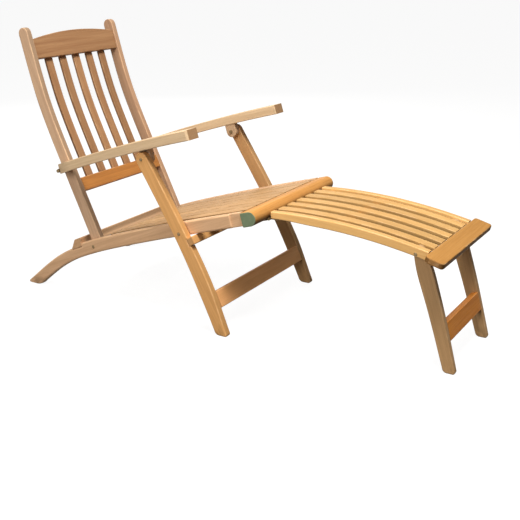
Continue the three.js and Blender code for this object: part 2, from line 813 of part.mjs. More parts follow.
// The end board: a wide rounded plank across the ends of the rails and slats.
function makeEndBoard() {
  const end = frameAt(footLine, 1);
  const along = end.along.clone().rotateAround(at(0, 0), boardTilt);
  const frame = { point: end.point, along, across: at(-along.y, along.x) };
  const start = fitGap + footHalf * Math.abs(Math.tan(boardTilt));
  const base = inFrame(frame, start, footHalf - boardThickness);
  const plan = new THREE.Shape();
  const innerY = boardHalfWidth - boardCornerRadius;
  const innerX = boardLength - boardCornerRadius;
  plan.absarc(boardCornerRadius, -innerY, boardCornerRadius, Math.PI, 1.5 * Math.PI);
  plan.absarc(innerX, -innerY, boardCornerRadius, 1.5 * Math.PI, 2 * Math.PI);
  plan.absarc(innerX, innerY, boardCornerRadius, 0, Math.PI / 2);
  plan.absarc(boardCornerRadius, innerY, boardCornerRadius, Math.PI / 2, Math.PI);
  const board = plateSolid(
    plan,
    boardThickness,
    new THREE.Vector3(base.x, 0, base.y),
    new THREE.Vector3(along.x, 0, along.y),
    new THREE.Vector3(0, 1, 0),
    edgeChamfer,
  );
  addPiece("footrest_end_board", board, "footrest");
}
makeEndBoard();

// Footrest legs: slim curved bars inside the rails, round at the top and narrow at the floor.
const footLegFoot = at(footLegFootAhead, 0);
const footLegChord = footLegPivot.clone().sub(footLegFoot).normalize();
const footLegMiddle = footLegFoot.clone().lerp(footLegPivot, 0.5);
footLegMiddle.addScaledVector(at(footLegChord.y, -footLegChord.x), footLegBow);
const footLegLine = new THREE.SplineCurve([footLegFoot, footLegMiddle, footLegPivot]);

// Half the width of a footrest leg: widest a short way under the pivot.
function footLegHalf(share) {
  const shoulderShare = 0.78;
  const slim = footLegFootWidth / 2;
  const wide = footLegWidth / 2;
  if (share < shoulderShare) return slim + (wide - slim) * (share / shoulderShare);
  const rise = (share - shoulderShare) / (1 - shoulderShare);
  return wide + (footLegEyeRadius - wide) * rise * rise;
}

function makeFootrestLegs() {
  const foot = frameAt(footLegLine, 0);
  const top = frameAt(footLegLine, 1);
  const front = edgeOf(footLegLine, 0, 1, (share) => -footLegHalf(share));
  const rear = edgeOf(footLegLine, 1, 0, footLegHalf);
  const eye = arcIn(top, 0, 0, footLegEyeRadius, -Math.PI / 2, Math.PI / 2).slice(1, -1);
  const sole = soleOf(front, rear, foot.along, footLegFootChamfer);
  const outline = new THREE.Shape([...sole, ...front, ...eye, ...rear]);
  const leg = cut(sideSolid(outline, footLegThickness, slatChamfer), bore(footLegPivot));
  addPair("footrest_leg", leg, "footrest", footLegInnerY);

  const share = shareWhere(footLegLine, "y", footStretcherHeight);
  const frame = frameAt(footLegLine, share);
  const half = footStretcherWidth / 2;
  const face = -footLegHalf(share);
  const section = cutRectangle(
    frame, -half, half, face, face + footStretcherThickness, slatChamfer,
  );
  addPiece("footrest_leg_stretcher", crossSolid(section, footLegInnerY - fitGap), "footrest");
}
makeFootrestLegs();

// Bolts: a domed head outside, washers in the gaps and a nut inside.
function makeBolts() {
  addPair(
    "leg_bolt",
    turned(
      legPivot,
      [
        [nutRadius, railInnerY - fitGap - nutHeight, railInnerY - fitGap],
        [boltRadius, railInnerY - fitGap, railOuterY + fitGap],
        [washerRadius, railOuterY + fitGap, legInnerY - fitGap],
        [boltRadius, legInnerY - fitGap, legOuterY + fitGap],
        [boltHeadRadius, legOuterY + fitGap, legOuterY + 2 * fitGap],
      ],
      boltHeadHeight,
    ),
    "brass",
  );
  addPair(
    "back_bolt",
    turned(
      backPivot,
      [
        [nutRadius, postInnerY - fitGap - nutHeight, postInnerY - fitGap],
        [boltRadius, postInnerY - fitGap, postOuterY + fitGap],
        [washerRadius, postOuterY + fitGap, railInnerY - fitGap],
        [boltRadius, railInnerY - fitGap, railOuterY + fitGap],
        [boltHeadRadius, railOuterY + fitGap, railOuterY + 2 * fitGap],
      ],
      boltHeadHeight / 2,
    ),
    "brass",
  );
  const blockInnerY = legInnerY - fitGap - armBlockThickness;
  addPair(
    "arm_bolt",
    turned(
      armPivot,
      [
        [nutRadius, blockInnerY - fitGap - nutHeight, blockInnerY - fitGap],
        [boltRadius, blockInnerY - fitGap, legOuterY + fitGap],
        [boltHeadRadius, legOuterY + fitGap, legOuterY + 2 * fitGap],
      ],
      boltHeadHeight,
    ),
    "brass",
  );
  addPair(
    "footrest_leg_bolt",
    turned(
      footLegPivot,
      [
        [rivetRadius, footLegInnerY - fitGap - rivetHeight, footLegInnerY - fitGap],
        [boltRadius, footLegInnerY - fitGap, footLegOuterY + fitGap],
        [washerRadius, footLegOuterY + fitGap, footRailInnerY - fitGap],
        [boltRadius, footRailInnerY - fitGap, footRailOuter + fitGap],
        [boltHeadRadius, footRailOuter + fitGap, footRailOuter + 2 * fitGap],
      ],
      boltHeadHeight / 2,
    ),
    "brass",
  );
}
makeBolts();

// Butt hinges under the joint of seat and footrest: one leaf on the nose, one on the rail.
const knuckleReach = noseRadius + knuckleRadius + 2 * fitGap;
const hingeHeight = footStart.y - footRailUnder(0) - fitGap - 1.4 * hingeLeafThickness;
const knuckleDrop = noseFront.y - hingeHeight;
const knuckleAhead = Math.sqrt(knuckleReach * knuckleReach - knuckleDrop * knuckleDrop);
const hingeCentre = at(noseFront.x + knuckleAhead, hingeHeight);

// A leaf: a plate in a frame from one end to the knuckle, with tabs that reach the knuckle's middle.
function hingeLeaf(frame, far, near, top, tabs) {
  const plate = cutRectangle(frame, far, near, top - hingeLeafThickness, top, 0);
  const solids = [sideSolid(new THREE.Shape(plate), hingeWidth, 0)];
  for (const [from, to, reach] of tabs) {
    const tab = cutRectangle(
      frame, Math.min(near, reach) - fitGap, Math.max(near, reach) + fitGap,
      top - hingeLeafThickness, top, 0,
    );
    solids.push(sideSolid(new THREE.Shape(tab), to - from, 0).translate(0, from, 0));
    solids.push(roundBar(hingeCentre, knuckleRadius, from, to));
  }
  return solids;
}

function makeHinges() {
  const third = hingeWidth / 3;
  const knuckleU = hingeCentre.clone().sub(noseFrame.point).dot(noseFrame.along);
  const fixedEnd = knuckleU - knuckleRadius - 2 * fitGap;
  const fixedTop = -noseRadius - fitGap;
  const fixed = join(
    ...hingeLeaf(noseFrame, fixedEnd - hingeLeafLength, fixedEnd, fixedTop, [
      [0, third - hingeSideGap, knuckleU],
      [2 * third + hingeSideGap, hingeWidth, knuckleU],
    ]),
    roundBar(hingeCentre, hingePinRadius, 0, hingeWidth),
  );
  const y = (footRailInnerY + footRailOuter - hingeWidth) / 2;
  addPair("hinge_leaf_seat", fixed, "brass", y);

  const under = (share) => inFrame(frameAt(footLine, share), 0, -footRailUnder(share));
  const leafEnd = hingeLeafLength / footLine.getLength();
  const slope = under(leafEnd).sub(under(0));
  const leafFrame = turnedFrame(under(0), slope.angle());
  const toKnuckle = hingeCentre.clone().sub(leafFrame.point).dot(leafFrame.along);
  const near = toKnuckle + knuckleRadius + 2 * fitGap;
  const tab = [[third, 2 * third, toKnuckle]];
  const leaf = join(...hingeLeaf(leafFrame, near, near + hingeLeafLength, -fitGap, tab));
  addPair("hinge_leaf_footrest", cut(leaf, bore(hingeCentre, hingePinRadius)), "brass", y);
}
makeHinges();

// The part's origin is on the floor, in the middle of the chair's box.
const box = new THREE.Box3().setFromObject(chair);
chair.position.x = -(box.min.x + box.max.x) / 2;

const part = new THREE.Group();
part.add(chair);

export default part;
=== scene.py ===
import bpy
import numpy as np
from mathutils import Matrix, Vector


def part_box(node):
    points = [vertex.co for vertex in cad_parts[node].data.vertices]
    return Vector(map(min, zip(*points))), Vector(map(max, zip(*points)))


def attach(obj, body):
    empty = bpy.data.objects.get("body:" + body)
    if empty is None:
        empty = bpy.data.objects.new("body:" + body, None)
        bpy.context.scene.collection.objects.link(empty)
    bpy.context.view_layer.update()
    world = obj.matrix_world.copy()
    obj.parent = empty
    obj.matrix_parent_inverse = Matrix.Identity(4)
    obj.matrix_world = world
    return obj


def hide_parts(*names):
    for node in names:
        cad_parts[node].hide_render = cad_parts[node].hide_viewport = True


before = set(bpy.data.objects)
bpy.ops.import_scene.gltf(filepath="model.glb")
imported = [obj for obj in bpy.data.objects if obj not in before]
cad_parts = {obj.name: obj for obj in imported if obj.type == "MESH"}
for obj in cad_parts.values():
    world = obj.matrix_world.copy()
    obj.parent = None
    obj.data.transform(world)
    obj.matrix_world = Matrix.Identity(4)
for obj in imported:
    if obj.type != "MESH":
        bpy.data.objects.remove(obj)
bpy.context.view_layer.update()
scene = bpy.context.scene
scene.view_settings.view_transform = "Standard"

# The chair is photographed from its right-hand side and a little from the foot end, at the eye
# height of someone standing two and a half metres away. The picture was cut above the lens's
# middle, so the view is shifted down. The eye is given from the main legs' feet.
turn, tip = np.radians(31.606), np.radians(12.238)
sight = np.array([-np.sin(turn) * np.cos(tip), np.cos(turn) * np.cos(tip), -np.sin(tip)])
rightward = np.array([np.cos(turn), np.sin(turn), 0])
upward = np.cross(rightward, sight)
# The main legs' pivot bolt is 178 mm behind their feet, and every piece is set out from the feet.
bolt_low, bolt_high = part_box("leg_bolt_right")
feet_x = (bolt_low[0] + bolt_high[0]) / 2 + 0.178
eye = (1.55585 + feet_x, -2.6005, 1.2619)
camera = bpy.data.objects.new("camera", bpy.data.cameras.new("camera"))
scene.collection.objects.link(camera)
camera.matrix_world = Matrix((
    (rightward[0], upward[0], -sight[0], eye[0]),
    (rightward[1], upward[1], -sight[1], eye[1]),
    (rightward[2], upward[2], -sight[2], eye[2]),
    (0, 0, 0, 1),
))
camera.data.sensor_width = 36
camera.data.lens = 62.31
camera.data.shift_y = -0.2262
scene.camera = camera


# Seat rails. Two bars of oiled hardwood, sawn to a gentle curve that sweeps down behind the back
# into the rear feet. They step down under the rear rail, which is let into their tops, and their
# front ends are let in from outside. The edges are rounded over with a router.
def smooth_curve(points):
    """A Catmull-Rom curve through points of the side view: each span is a cubic whose end slopes
    are half the chord between its two neighbours. Returns it as a fine polyline."""
    points = np.array(points, float)
    padded = np.vstack([points[:1], points, points[-1:]])
    t = np.linspace(0, len(points) - 1, 1601)
    span = np.minimum(t.astype(int), len(points) - 2)
    w = (t - span)[:, None]
    a, b, c, d = padded[span], padded[span + 1], padded[span + 2], padded[span + 3]
    cubic = 2 * b + (c - a) * w + (2 * a - 5 * b + 4 * c - d) * w**2
    return (cubic + (3 * b - a - 3 * c + d) * w**3) / 2


def length_of(curve):
    """The lengths of the polyline's spans, summed."""
    return np.hypot(*np.diff(curve, axis=0).T).sum()


def set_out(curve, distances):
    """Places on a curve at distances along it, with the directions along and across (a quarter
    turn to the left). Past its ends the curve goes on straight."""
    distances = np.asarray(distances, float)
    steps = np.diff(curve, axis=0)
    run = np.concatenate([[0], np.cumsum(np.hypot(*steps.T))])
    slopes = np.gradient(curve, run, axis=0)
    inside = np.clip(distances, 0, run[-1])
    along = np.stack([np.interp(inside, run, slopes[:, k]) for k in (0, 1)], -1)
    along /= np.linalg.norm(along, axis=-1, keepdims=True)
    place = np.stack([np.interp(inside, run, curve[:, k]) for k in (0, 1)], -1)
    place += along * (distances - inside)[..., None]
    across = np.stack([-along[..., 1], along[..., 0]], -1)
    return place, along, across


def spot(curve, distance):
    """The place and the directions along and across at one distance along a curve."""
    return [v[0] for v in set_out(curve, [distance])]


def distance_where(curve, axis, value):
    """The distance along a curve at which its x (axis 0) or z (axis 1) reaches a value."""
    run = np.concatenate([[0], np.cumsum(np.hypot(*np.diff(curve, axis=0).T))])
    order = np.argsort(curve[:, axis])
    return np.interp(value, curve[order, axis], run[order])


def in_space(flat, y=0.0):
    """A direction of the side view as one in space."""
    flat = np.asarray(flat, float)
    return np.stack(np.broadcast_arrays(flat[..., 0], y, flat[..., 1]), -1)


def in_chair(flat, y=0.0):
    """A place of the side view, measured from the main legs' feet, in the chair's frame."""
    return in_space(flat, y) + [feet_x, 0, 0]


def eased(t):
    """0 below 0, 1 above 1, and between them 3 t squared less 2 t cubed."""
    t = np.clip(t, 0, 1)
    return t * t * (3 - 2 * t)


def corner(distance, radius):
    """How far the outline of a quarter round corner is drawn in at a distance from the end."""
    return radius - np.sqrt(np.maximum(radius**2 - np.maximum(radius - distance, 0) ** 2, 0))


boards = 0
board_shift = np.array([3.71, 1.37, 0.83])
y_axis = np.array([0, 1.0, 0])


def tube_faces(rows, sides, order=1):
    """The quads between neighbouring rows of a closed tube, and its two end caps. Point j of row
    i is number i * sides + j, and the order is -1 where the rows run the other way round."""
    i, j = np.meshgrid(np.arange(rows - 1), np.arange(sides), indexing="ij")
    k = (j + 1) % sides
    quads = [i * sides + j, (i + 1) * sides + j, (i + 1) * sides + k, i * sides + k]
    quads = np.stack(quads, -1).reshape(-1, 4)[:, ::order]
    caps = np.stack([np.arange(sides), (rows - 1) * sides + np.arange(sides)[::-1]])[:, ::order]
    return quads.tolist() + caps.tolist()


def wooden(name, points, faces, grain, painted_light_and_wear):
    """A smooth shaded piece with the two attributes that the wood reads. The grain, in metres
    along, across and through the board, is shifted for each new board."""
    global boards
    boards += 1
    mesh = bpy.data.meshes.new(name)
    mesh.from_pydata(points.tolist(), [], faces)
    for label, values in (("grain", grain + board_shift * boards), ("painted_light_and_wear", painted_light_and_wear)):
        attribute = mesh.attributes.new(label, "FLOAT_VECTOR", "POINT")
        attribute.data.foreach_set("vector", values.ravel())
    mesh.shade_smooth()
    piece = bpy.data.objects.new(name, mesh)
    scene.collection.objects.link(piece)
    return piece


def eased_ends(stations, ease, toe):
    """The stations of a bar, with those near its ends replaced by rows that shrink on a quarter
    circle of radius ease, and with its low and high corners cut on one of radius toe. Returns them
    with the mask of the end faces, which fades over the rounding. The first two rows of an end
    share its plane, so that the rounding starts from a flat face."""
    place, along, across, side, low, high, near, far, soft, lean = stations
    quarter = np.radians([90, 90, 60, 30, 0])
    inset, back_off = 1 - np.cos(quarter), 1 - np.sin(quarter)
    inset[0] = 1.5
    fading = np.array([1, 1, 0.9, 0.4, 0])
    rounded_rows, masks = [], []
    for end, order in ((0, 1), (-1, -1)):
        radius = ease[end]
        used = slice(None) if radius > 0 else slice(0, 1)
        shrink, off = (radius * inset)[used][::order], (radius * back_off)[used][::order]
        rows = [place[end] + along[end] * off[:, None] * order]
        rows += [np.repeat(v[end][None], len(off), 0) for v in (along, across, side)]
        edge = np.maximum(soft[end] * (1 - np.minimum(shrink / max(radius, 1e-9), 1)), 1e-4)
        drawn = np.maximum(shrink, corner(off, toe[end]) + 0.5 * radius * (shrink > radius))
        rows += [low[end] + drawn, high[end] - drawn, near[end] + shrink, far[end] - shrink, edge]
        rows += [np.repeat(lean[end], len(off))]
        rounded_rows.append(rows)
        masks.append(fading[used][::order])
    run = np.concatenate([[0], np.cumsum(np.linalg.norm(np.diff(place, axis=0), axis=1))])
    kept = (run > ease[0]) & (run < run[-1] - ease[1])
    kept[[0, -1]] = False
    drawn = corner(run, toe[0]) + corner(run[-1] - run, toe[1])
    low, high = low + drawn, high - drawn
    middle = [v[kept] for v in (place, along, across, side, low, high, near, far, soft, lean)]
    mask = np.concatenate([masks[0], np.zeros(kept.sum()), masks[1]])
    return [np.concatenate(trio) for trio in zip(rounded_rows[0], middle, rounded_rows[1])], mask


def section_corners(low, high, near, far, soft):
    """The points round each station's rectangle, as distances across and sideways: a quarter round
    of radius soft at each corner, with an extra point tight to either side of it that keeps the
    faces flat. Returns them with each point's angle on its quarter round."""
    bend = np.radians([0, 0, 30, 60, 90, 90])
    before, after = np.array([1, 0, 0, 0, 0, 0]), np.array([0, 0, 0, 0, 0, 1])
    room = np.maximum(np.minimum(high - low, far - near) / 2 - soft, 0)
    tight = np.minimum(0.0008, 0.9 * room)[:, None]
    down = soft[:, None] * (1 - np.cos(bend)) + tight * after
    inwards = soft[:, None] * (1 - np.sin(bend)) + tight * before
    low, high = low[:, None] + down, high[:, None] - down
    near, far = near[:, None] + inwards, far[:, None] - inwards
    v = np.hstack([high, low[:, ::-1], low, high[:, ::-1]])
    w = np.hstack([far, far[:, ::-1], near, near[:, ::-1]])
    return v, w, np.concatenate([bend, bend[::-1], bend, bend[::-1]])


def plank(
    name, place, along, across, side, low, high, near, far, soft, lean=0.0, ease=(None, None),
    toe=(0.0, 0.0),
):
    """A bar whose section is carried along a path. At each station the section is a rectangle,
    low to high across and near to far sideways, with quarter round corners of radius soft; each
    point is place + across * v + side * w + along * lean * v. Its ends are eased, by soft where no
    other radius is given. The painted_light_and_wear attribute holds three masks: the side faces,
    for painted shade or light, the end faces and the rounded edges."""
    n = len(place)
    directions = [np.broadcast_to(np.asarray(v, float), (n, 3)) for v in (along, across, side)]
    measures = [
        np.broadcast_to(np.asarray(v, float), (n,)) for v in (low, high, near, far, soft, lean)
    ]
    ease = [float(measures[4][k]) if ease[k] is None else ease[k] for k in (0, -1)]
    stations, end_mask = eased_ends([place, *directions, *measures], ease, toe)
    place, along, across, side, low, high, near, far, soft, lean = stations
    v, w, bend = section_corners(low, high, near, far, soft)
    points = (
        place[:, None]
        + across[:, None] * v[..., None]
        + side[:, None] * w[..., None]
        + along[:, None] * (lean[:, None] * v)[..., None]
    ).reshape(-1, 3)
    middle = len(place) // 2
    turn_of_rows = np.dot(np.cross(across[middle], side[middle]), along[middle])
    faces = tube_faces(*v.shape, 1 if turn_of_rows < 0 else -1)
    length = place[-1] - place[0]
    length /= np.linalg.norm(length)
    wide = side[middle] - length * np.dot(side[middle], length)
    wide /= np.linalg.norm(wide)
    grain = points @ np.stack([length, np.cross(length, wide), wide], -1)
    painted_light_and_wear = np.broadcast_arrays(np.sin(bend), end_mask[:, None], np.sin(2 * bend))
    return wooden(name, points, faces, grain, np.stack(painted_light_and_wear, -1))


def bar_along(name, line, *section, **ends):
    """A plank along a line that was set out in the side view."""
    place, along, across = line
    return plank(name, in_chair(place), in_space(along), in_space(across), y_axis, *section, **ends)


def feed(tree, node, inputs):
    """Gives inputs of a node, by name or number, a link from another node or a value."""
    for label, value in inputs.items():
        if isinstance(value, bpy.types.NodeSocket):
            tree.links.new(value, node.inputs[label])
        else:
            node.inputs[label].default_value = value


def add(tree, kind, inputs, operation=None):
    """A new shader node with its inputs fed. A Mix node mixes colours."""
    node = tree.nodes.new("ShaderNode" + kind)
    if kind == "Mix":
        node.data_type = "RGBA"
    if operation is not None:
        node.operation = operation
    feed(tree, node, inputs)
    return node


def combined(tree, operation, *values):
    """A math operation on one, two or three sockets or numbers."""
    return add(tree, "Math", dict(enumerate(values)), operation).outputs[0]


def ranged(tree, value, low, high, to_low=0.0, to_high=1.0):
    """A value from low to high moved to the range from to_low to to_high."""
    limits = {"From Min": low, "From Max": high, "To Min": to_low, "To Max": to_high}
    return add(tree, "MapRange", {"Value": value, **limits}).outputs["Result"]


def mixed(tree, share, a, b):
    """Colour a, with colour b by its share."""
    return add(tree, "Mix", {"Factor": share, "A": a, "B": b}).outputs["Result"]


def grain_group():
    """Straight grained, oiled hardwood. Broad bands, fine streaks and short dark pores are noise
    stretched along the board; a very slow noise gives each board its own tone. Side faces carry
    painted shade by the share Painted_side_shade, or painted light where it is below zero. End
    grain is browner, rounded edges are rubbed paler in patches, a pale colour that also paints a
    highlight along them, and the last few centimetres above the floor are stained."""
    group = bpy.data.node_groups.new("hardwood", "ShaderNodeTree")
    for label, kind, default in (
        ("Grain", "NodeSocketVector", None),
        ("Painted_light_and_wear", "NodeSocketVector", None),
        ("Pale", "NodeSocketColor", (0.5, 0.3, 0.15, 1)),
        ("Dark", "NodeSocketColor", (0.3, 0.15, 0.06, 1)),
        ("Figure", "NodeSocketFloat", 1.0),
        ("Painted_side_shade", "NodeSocketFloat", 0.0),
    ):
        socket = group.interface.new_socket(label, in_out="INPUT", socket_type=kind)
        if default is not None:
            socket.default_value = default
    for label, kind in (
        ("Colour", "NodeSocketColor"),
        ("Roughness", "NodeSocketFloat"),
        ("Height", "NodeSocketFloat"),
    ):
        group.interface.new_socket(label, in_out="OUTPUT", socket_type=kind)
    entry = group.nodes.new("NodeGroupInput").outputs

    def stretched(scale, detail, warp=0.0):
        """Noise of 0 to 1 over the grain's three directions, each with its own scale."""
        grain = add(group, "VectorMath", {0: entry["Grain"], 1: scale}, "MULTIPLY").outputs[0]
        noise = {"Vector": grain, "Scale": 1, "Detail": detail, "Distortion": warp}
        return add(group, "TexNoise", noise).outputs["Fac"]

    def times(a, b):
        """The product of two values, or of a value and a number."""
        return combined(group, "MULTIPLY", a, b)

    def scaled(colour, share):
        """A colour times a value."""
        return add(group, "VectorMath", {0: colour, "Scale": share}, "SCALE").outputs[0]

    # The pale colour of the rounded edges is partly rubbed wear and partly a painted highlight.
    rubbed_and_highlight_colour, end_grain = (0.86, 0.59, 0.34, 1), (0.30, 0.15, 0.06, 1)
    stain_low, stain_high = 0.002, 0.045
    bands = ranged(group, stretched((3.0, 70, 70), 3, 0.6), 0.33, 0.67)
    streaks = ranged(group, stretched((9, 380, 380), 3), 0.35, 0.68)
    pores = ranged(group, stretched((40, 900, 900), 2), 0.6, 0.72)
    tone = ranged(group, stretched((0.9, 2.2, 2.2), 1), 0.3, 0.7, 0.84, 1.08)
    patches = ranged(group, stretched((24, 60, 60), 3), 0.42, 0.62)
    masks = add(group, "SeparateXYZ", {0: entry["Painted_light_and_wear"]}).outputs
    figure = combined(group, "ADD", times(bands, 0.6), times(streaks, 0.4))
    colour = mixed(group, times(figure, entry["Figure"]), entry["Pale"], entry["Dark"])
    # Painted shade on the side faces by the share, or painted light where the share is below zero.
    sides = times(masks["X"], entry["Painted_side_shade"])
    colour = scaled(colour, combined(group, "SUBTRACT", 1.0, sides))
    colour = mixed(group, times(times(masks["Z"], patches), 0.5), colour, rubbed_and_highlight_colour)
    colour = mixed(group, times(masks["Y"], 0.45), colour, end_grain)
    place = add(group, "TexCoord", {}).outputs["Object"]
    height = add(group, "SeparateXYZ", {0: place}).outputs["Z"]
    damp = times(ranged(group, height, stain_low, stain_high, 0.5, 0.0), patches)
    shade = combined(group, "SUBTRACT", tone, times(pores, 0.12))
    shade = times(shade, combined(group, "SUBTRACT", 1.0, damp))
    feed(group, group.nodes.new("NodeGroupOutput"), {
        "Colour": scaled(colour, shade),
        "Roughness": combined(
            group, "ADD", ranged(group, streaks, 0.0, 1.0, 0.58, 0.7), times(damp, 0.3)
        ),
        "Height": combined(group, "SUBTRACT", streaks, pores),
    })
    return group


hardwood = grain_group()


def new_material(name):
    """A material with its node tree and its shader."""
    material = bpy.data.materials.new(name)
    material.use_nodes = True
    return material, material.node_tree, material.node_tree.nodes["Principled BSDF"]


def oiled_wood(name, pale, dark, sides=0.0, pitch=None, cut=None, shine=0.2):
    """A finish of the hardwood with its own two colours and shine. A piece carried over from the
    frame has no grain attribute, so its grain runs along the chair at a pitch in degrees, and its
    front end shows end grain from a distance along it."""
    material, tree, shader = new_material(name)
    group = tree.nodes.new("ShaderNodeGroup")
    group.node_tree = hardwood
    # sides is the share of painted shade on the side faces, and below zero it paints light there.
    looks = {"Pale": (*pale, 1), "Dark": (*dark, 1), "Figure": 0.8, "Painted_side_shade": sides}
    feed(tree, group, looks)
    if pitch is None:
        for label in ("Grain", "Painted_light_and_wear"):
            attribute = add(tree, "Attribute", {})
            attribute.attribute_name = label.lower()
            feed(tree, group, {label: attribute.outputs["Vector"]})
    else:
        place = add(tree, "TexCoord", {}).outputs["Object"]
        turned = add(tree, "Mapping", {"Vector": place, "Rotation": (0, np.radians(pitch), 0)})
        feed(tree, group, {"Grain": turned.outputs["Vector"]})
        if cut is not None:
            # Sawn ends of the arms show the end grain more than the planks' ends, whose mask is 1.
            distance = add(tree, "SeparateXYZ", {0: turned.outputs["Vector"]}).outputs["X"]
            end_mask = ranged(tree, distance, cut - 0.001, cut - 0.0002, 0.0, 1.8)
            feed(tree, group, {"Painted_light_and_wear": add(tree, "CombineXYZ", {"Y": end_mask}).outputs[0]})
    fibres = {"Strength": 0.07, "Distance": 0.0005, "Height": group.outputs["Height"]}
    feed(tree, shader, {
        "Base Color": group.outputs["Colour"],
        "Roughness": group.outputs["Roughness"],
        "Specular IOR Level": shine,
        "Normal": add(tree, "Bump", fibres).outputs["Normal"],
    })
    return material


def fix(piece, node, body, finish):
    """Puts a finished piece in the place of its plain solid, on the body that carries it."""
    piece.data.materials.append(finish)
    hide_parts(node)
    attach(piece, body)


def stepped(distances, steps, gap=0.0002):
    """Stations with a tight pair on each side of every step, so that a shoulder stays crisp."""
    extra = [s + k for s in steps for k in (-5 * gap, -gap, gap, 5 * gap)]
    return np.unique(np.concatenate([distances, extra]))


def to_floor(curve, distances, fade=0.08):
    """How far each station leans along the bar so that its end is cut by the floor: fully at the
    start of the curve, fading out over the first part of it."""
    _, along, across = set_out(curve, [0.0])
    full = -across[0, 1] / along[0, 1]
    return full * eased(1 - distances / fade)


back_pivot = np.array([-0.586, 0.201])
seat_front = np.array([0.051, 0.404])
seat_chord = (seat_front - back_pivot) / np.linalg.norm(seat_front - back_pivot)
crown = back_pivot + 0.45 * (seat_front - back_pivot)
crown = crown + 0.006 * np.array([-seat_chord[1], seat_chord[0]])
seat_curve = smooth_curve([(-0.903, 0), (-0.750, 0.121), back_pivot, crown, seat_front])
seat_length = length_of(seat_curve)
rear_s = distance_where(seat_curve, 0, -0.660)
# The rails' inner and outer faces are given from the chair's middle, their tops, the floor of the
# rear rail's housing and the depth below from the seat's curve.
glue_gap, foot_ease = 0.0003, 0.004
rail_near, rail_far = 0.247, 0.272
rail_top, rail_low_top, rail_heel = 0.0255, 0.0185, 0.014
housing_half, housing_floor = 0.0262, 0.014
lap_length, lap_depth = 0.045, 0.007
rail_edge, lap_edge = 0.0065, 0.0035
side_wood = oiled_wood("side_wood", (0.71, 0.45, 0.26), (0.505, 0.297, 0.157))


def under_rail(s):
    """How deep a side rail is below its curve: 25.5 mm at the foot and 21.5 mm at the nose."""
    return 0.0255 - 0.004 * s / seat_length


def make_seat_rail(name, hand):
    """The side rail of one hand. Its top steps down at the rear rail, where it is also housed, and
    its outer face is cut back at the lap."""
    lap = seat_length - lap_length
    steps = [rear_s - housing_half, rear_s + housing_half, lap]
    s = stepped(np.linspace(0, seat_length, 60), steps)
    s = np.unique(np.concatenate([s, np.linspace(foot_ease + 0.0005, rail_heel, 6)]))
    near, far = rail_near, rail_far - np.where(s > lap, lap_depth, 0)
    if hand < 0:
        near, far = -far, -near
    high = np.where(s < rear_s, rail_low_top, rail_top)
    high = np.where(np.abs(s - rear_s) < housing_half, housing_floor - glue_gap, high)
    return bar_along(
        name, set_out(seat_curve, s), -under_rail(s), high, near, far,
        np.where(s < lap, rail_edge, lap_edge), to_floor(seat_curve, s), (foot_ease, 0.001),
        (rail_heel, 0),
    )


for side_name, hand in (("right", -1), ("left", 1)):
    fix(make_seat_rail("side_rail_" + side_name, hand), "seat_rail_" + side_name, "seat_frame",
        side_wood)


# The nose. A bar with a flat back and a half round front that closes the seat frame and takes the
# footrest's hinges. It lies over the ends of both side rails, and its end grain is sealed with a
# dull green paint.
def outline_normals(points):
    """Outward unit normals of a closed outline: each is square to the line between the point's
    two neighbours."""
    step = np.roll(points, -1, 0) - np.roll(points, 1, 0)
    step /= np.linalg.norm(step, axis=1, keepdims=True)
    return np.stack([step[:, 1], -step[:, 0]], -1)


def moulding(name, outline, reach, ease):
    """An outline of the side view run across the chair from -reach to reach. Over the last few
    millimetres it shrinks along its normals on a quarter circle. The grain and
    painted_light_and_wear attributes are those of a plank, but the first mask is the underside,
    for painted shade."""
    normals = outline_normals(outline)
    quarter = np.radians([90, 70, 45, 20, 0])
    shrink = ease * np.concatenate([[1.6], 1 - np.cos(quarter), 1 - np.cos(quarter[::-1]), [1.6]])
    off = ease * (1 - np.sin(quarter))
    y = np.concatenate([[-reach], off - reach, reach - off[::-1], [reach]])
    points = in_chair(outline - normals * shrink[:, None, None], y[:, None])
    painted_light_and_wear = np.zeros(points.shape)
    # The first mask grows from the front's middle to the underside, for a finish that paints shade
    # there.
    painted_light_and_wear[..., 0] = np.clip(0.45 - 1.2 * normals[:, 1], 0, 1)
    painted_light_and_wear[[0, 1, -2, -1], :, 1] = 0.7
    faces = tube_faces(len(y), len(outline))
    points = points.reshape(-1, 3)
    return wooden(name, points, faces, points[:, [1, 2, 0]], painted_light_and_wear)


def arc(centre, radius, start, end, count):
    """Points of an arc of the side view: centre + radius * (cos, sin) of evenly spaced angles."""
    angle = np.radians(np.linspace(start, end, count))
    return np.asarray(centre) + radius * np.stack([np.cos(angle), np.sin(angle)], -1)


def turned_into(frame_place, frame_along, local):
    """Points given along and across a frame, placed in the side view."""
    frame_across = np.array([-frame_along[1], frame_along[0]])
    local = np.asarray(local)
    return frame_place + local[..., :1] * frame_along + local[..., 1:] * frame_across


def paint_ends(material, reach):
    """Dull green paint over a wood where the distance from the chair's middle, plus 2.2 mm of
    noise for the brush's ragged line, goes beyond a reach."""
    tree = material.node_tree
    shader = tree.nodes["Principled BSDF"]
    wood = shader.inputs["Base Color"].links[0].from_socket
    place = add(tree, "TexCoord", {}).outputs["Object"]
    brush = add(tree, "TexNoise", {"Vector": place, "Scale": 90}).outputs["Fac"]
    from_middle = combined(tree, "ABSOLUTE", add(tree, "SeparateXYZ", {0: place}).outputs["Y"])
    brush_line = combined(tree, "MULTIPLY_ADD", brush, 0.0022, from_middle)
    painted = ranged(tree, brush_line, reach - 0.0004, reach)
    green = mixed(tree, brush, (0.15, 0.21, 0.12, 1), (0.22, 0.27, 0.17, 1))
    feed(tree, shader, {"Base Color": mixed(tree, painted, wood, green)})


